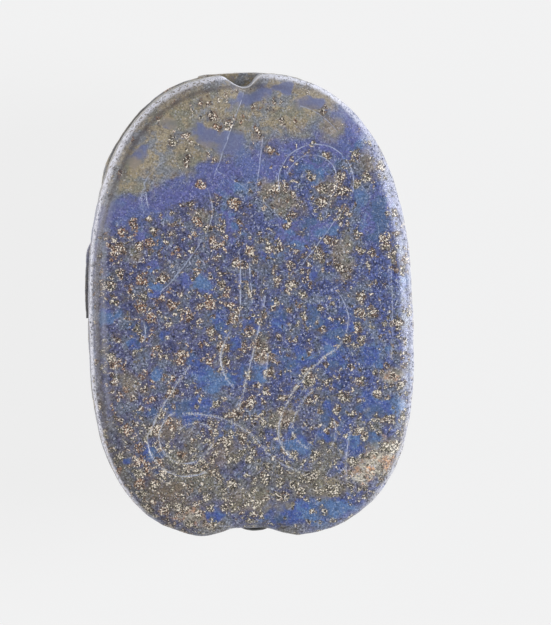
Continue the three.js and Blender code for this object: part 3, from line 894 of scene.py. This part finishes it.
def in_from_edge():
    """How far in from the plate's edge each point of the stone is, in millimetres."""
    headward = worked("GREATER_THAN", y, WIDEST_Y)
    power = between(headward, TAIL_POWER, HEAD_POWER)
    reach = between(headward, TAIL_REACH, HEAD_REACH)
    ring = ((abs(x) / (WIDTH / 2)) ** power + (abs(y - WIDEST_Y) / reach) ** power) ** (1.0 / power)
    return (1.0 - ring) / ring * (x * x + (y - WIDEST_Y) ** 2.0) ** 0.5


# Painted highlight makes the rim's edge pale nearly all round, widest on the right, with painted shade as a
# darker crease inside it on the left and a pale painted highlight round the head end's notch. Painted shade
# darkens the hollow under the plate.
inward = in_from_edge() + ragging * 0.12
on_plate = ramp(z, HEIGHT - 1.1, HEIGHT - 0.75)
right_side = ramp(x + ragging * 2.0, 3.5, 7.0)
left_side = ramp(y * 0.4 - x, 1.0, 5.0)
upper = ramp(y, 3.0, 8.0)
# Painted shade: a dark line where the face turns into the rim on the left.
crease_shade = swell(inward - 0.38 - upper * 0.24, 0.22) * left_side * on_plate * ramp(y, -9.0, -5.0)
body = blend(crease_shade * 0.6, body, CREASE_SHADE)
# Painted highlight: a faint pale band on the rounded rim at the left, away from the head end.
painted_gleam = swell(inward - 0.7, 0.25) * left_side * (1.0 - upper) * on_plate
painted_gleam = painted_gleam * ramp(y + ragging * 12.0, -7.0, -3.0)
body = blend(painted_gleam * 0.2, body, EDGE_HIGHLIGHT)
# Painted highlight: the rim's outer edge is painted pale and speckled nearly all round, widest on the
# right.
highlight_reach = 0.19 + upper * 0.12 + right_side * 0.2
edge = ramp(inward, highlight_reach, highlight_reach * 0.35) * on_plate * ramp(y + abs(x), -7.0, -2.0)
edge = edge * ramp(flour_one + fine_one, 0.3, 1.1) * (1.0 - right_side * 0.5)
body = blend(edge, body, EDGE_HIGHLIGHT)
# Painted highlight: a pale line along the edge of the head end's notch.
notch_highlight = ramp(z, HEIGHT - 0.5, HEIGHT - 0.65) * on_plate * swell(x, 2.2) * ramp(y, 10.0, 10.8)
body = blend(notch_highlight * 0.85, body, EDGE_HIGHLIGHT)
# Painted shade: a band about 2 to 4 mm below the seal face, the hollow under the plate and the legs in it,
# is painted nearly black, fading out at the head end.
hollow_shade = ramp(z, HEIGHT - 4.2, HEIGHT - 3.3) * ramp(z, HEIGHT - 1.7, HEIGHT - 2.1) * ramp(y, 11.4, 10.2)
body = blend(hollow_shade * 0.97, body, HOLLOW_SHADE)
stone.links.new(body, polish.inputs["Base Color"])

# The polish is duller on the veins and the nests. Dropped grains and the lines are shallow pits in it.
gloss = 0.3 + 0.08 * vein - 0.04 * clear + 0.15 * nest + (fine_three - 0.5) * 0.12
feed(polish.inputs["Roughness"], gloss)
bumps = bits * (grain_three - 0.7) + (fine_two - 0.5) * 0.5 * busy
bumps = bumps + (flour_two - 0.5) * 0.5 * busy - hairline * 0.6
relief = stone.nodes.new("ShaderNodeBump")
relief.inputs["Strength"].default_value = 0.9
relief.inputs["Distance"].default_value = PIT_DEPTH * MM
feed(relief.inputs["Height"], bumps)
stone.links.new(relief.outputs["Normal"], polish.inputs["Normal"])

scarab.data.set_sharp_from_angle(angle=math.radians(50))
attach(scarab, "root")
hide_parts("scarab")

# ---- The table -------------------------------------------------------------------------------------------
# A plain matt sheet of paper lies under the amulet and fills the view. It is lit almost evenly from within,
# so that hardly a shadow falls on it.

SHEET_REACH = 2000 * MM
SHEET_Z = -0.05 * MM
PAPER_GLOW = 0.83

sheet_mesh = bpy.data.meshes.new("table")
corners = [(east * SHEET_REACH, north * SHEET_REACH, SHEET_Z)
           for east, north in ((-1, -1), (1, -1), (1, 1), (-1, 1))]
sheet_mesh.from_pydata(corners, [], [(0, 1, 2, 3)])
table = bpy.data.objects.new("table", sheet_mesh)
bpy.context.scene.collection.objects.link(table)
paper = bpy.data.materials.new("table paper")
paper.use_nodes = True
paper_shader = paper.node_tree.nodes["Principled BSDF"]
paper_shader.inputs["Base Color"].default_value = (0.05, 0.05, 0.05, 1)
paper_shader.inputs["Roughness"].default_value = 1.0
paper_shader.inputs["Specular IOR Level"].default_value = 0.0
paper_shader.inputs["Emission Color"].default_value = (1, 1, 1, 1)
paper_shader.inputs["Emission Strength"].default_value = PAPER_GLOW
table.data.materials.append(paper)

# ---- The light -------------------------------------------------------------------------------------------
# A white surround that is bright low down and dark overhead, so that the polished face stays deep in colour
# and the rounded rim catches the light, with a broad soft lamp on the right and a low one on the left.

GLOW_LOW = 2.9
GLOW_OVERHEAD = 0.1

world = bpy.data.worlds.new("studio")
bpy.context.scene.world = world
world.use_nodes = True
surround = world.node_tree
height_up = parts_of(surround.nodes.new("ShaderNodeTexCoord").outputs["Generated"])[2]
glow = between(ramp(height_up, 0.5, 0.86), GLOW_LOW, GLOW_OVERHEAD)
feed(surround.nodes["Background"].inputs["Strength"], glow)


def lamp(name, wide, tall, energy, colour, place):
    """A rectangular lamp that faces the amulet."""
    light = bpy.data.lights.new(name, "AREA")
    light.shape = "RECTANGLE"
    light.size = wide
    light.size_y = tall
    light.energy = energy
    light.color = colour
    stand = bpy.data.objects.new(name, light)
    bpy.context.scene.collection.objects.link(stand)
    stand.location = place
    stand.rotation_euler = (Vector((0, 0, 0.01)) - stand.location).to_track_quat("-Z", "Y").to_euler()


lamp("soft light", wide=0.25, tall=0.35, energy=4.9, colour=(0.93, 0.95, 1.0), place=(0.46, 0.03, 0.3))
lamp("low light", wide=0.3, tall=0.4, energy=1.9, colour=(1.0, 0.98, 0.98), place=(-0.45, 0.05, 0.17))
bpy.context.scene.view_settings.view_transform = "Standard"

# ---- The camera ------------------------------------------------------------------------------------------
# A long lens looks down on the seal face from a little to the left and from the head's side, with its frame
# turned slightly. The height of the view takes in the whole plate with a margin.

TILT_LEFT = math.radians(5.5)
TILT_HEAD = math.radians(4.0)
DISTANCE = 0.45
ROLL = math.radians(1.65)
FRAME_TALL = 32.64 * MM
SENSOR_WIDTH = 36
AIM = Vector((1.181 * MM, -0.355 * MM, HEIGHT * MM))

lens = bpy.data.cameras.new("camera")
lens.sensor_width = SENSOR_WIDTH
lens.lens = SENSOR_WIDTH * DISTANCE / FRAME_TALL
lens.clip_start = 0.01
camera = bpy.data.objects.new("camera", lens)
bpy.context.scene.collection.objects.link(camera)
away = Vector((-math.tan(TILT_LEFT), math.tan(TILT_HEAD), 1)).normalized()
camera.location = AIM + away * DISTANCE
right = (Vector((0, 1, 0)).cross(away).normalized() * math.cos(ROLL)
         - Vector((0, 1, 0)) * math.sin(ROLL)).normalized()
right = (right - away * right.dot(away)).normalized()
up = away.cross(right)
camera.matrix_world = Matrix((
    (right.x, up.x, away.x, camera.location.x),
    (right.y, up.y, away.y, camera.location.y),
    (right.z, up.z, away.z, camera.location.z),
    (0, 0, 0, 1),
))
bpy.context.scene.camera = camera
